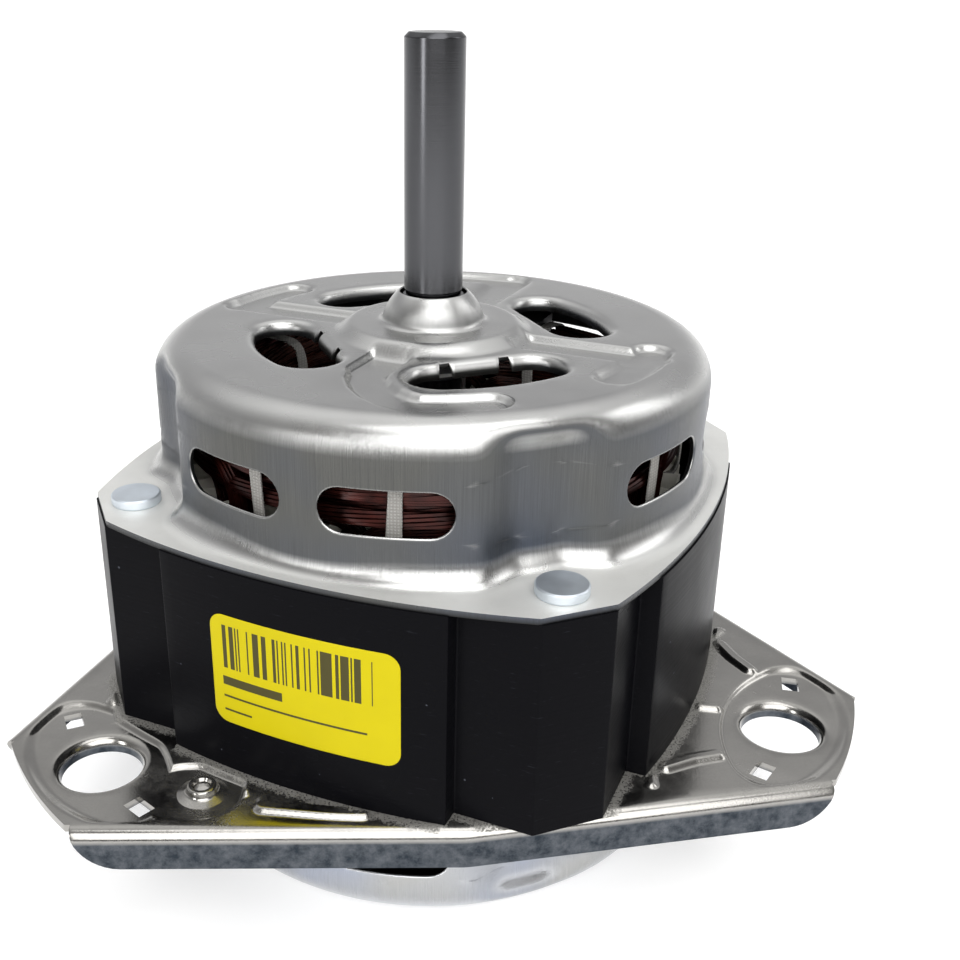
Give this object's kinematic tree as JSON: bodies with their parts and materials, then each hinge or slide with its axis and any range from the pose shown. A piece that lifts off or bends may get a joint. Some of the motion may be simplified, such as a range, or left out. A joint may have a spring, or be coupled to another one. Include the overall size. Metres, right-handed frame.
{
  "type": "washing machine motor",
  "caption": "Induction motor of a washing machine: bare laminated stack between two pressed steel covers, a plain shaft upwards and a three-eared mounting plate.",
  "frame": {"origin": "on the shaft axis, in the plane of the mounting plate's underside", "axes": "+Z along the shaft, towards its free end; +Y towards one ear of the plate"},
  "size_m": [0.1782, 0.1641, 0.1639],
  "materials": {
    "zinc_cover": "satin zinc-plated sheet",
    "zinc_plate": "bright zinc-plated sheet",
    "black_stack": "gloss black over stacked laminations",
    "liner_film": "milky insulation film",
    "winding_red": "varnished enamelled copper wire",
    "lacing_tape": "woven white tape",
    "black_plastic": "moulded",
    "rotor_steel": "turned laminations",
    "cast_aluminium": "die cast",
    "ground_steel": "ground and polished",
    "sintered_bronze": "porous, oiled",
    "spring_steel": "blued",
    "oil_felt": "felt, oiled",
    "white_nylon": "moulded",
    "bolt_zinc": "bright zinc",
    "black_rubber": "moulded",
    "yellow_label": "printed film, no text"
  },
  "bodies": {
    "housing": {"top_cover": "zinc_cover", "bottom_cover": "zinc_cover", "mounting_plate": "zinc_plate", "stator_core": "black_stack", "slot_liners": "liner_film", "slot_wedges": "liner_film", "main_winding": "winding_red", "start_winding": "winding_red", "top_lacing": "lacing_tape", "bottom_lacing": "lacing_tape", "thermal_cutout": "black_plastic", "top_bush": "sintered_bronze", "bottom_bush": "sintered_bronze", "top_bush_retainer": "spring_steel", "bottom_bush_retainer": "spring_steel", "top_oil_felt": "oil_felt", "bottom_oil_felt": "oil_felt", "thrust_pad": "white_nylon", "through_bolts": "bolt_zinc", "spring_washers": "bolt_zinc", "bolt_nuts": "bolt_zinc", "lead_grommet": "black_rubber", "side_label": "yellow_label"},
    "rotor": {"shaft": "ground_steel", "rotor_core": "rotor_steel", "rotor_cage": "cast_aluminium", "top_snap_ring": "spring_steel", "bottom_snap_ring": "spring_steel", "top_thrust_washer": "white_nylon", "bottom_thrust_washer": "white_nylon"}
  },
  "joints": [
    {"name": "rotor_spin", "type": "hinge", "parent": "housing", "child": "rotor", "pos_m": [0, 0, 0], "axis": [0, 0, 1], "continuous": true}
  ]
}
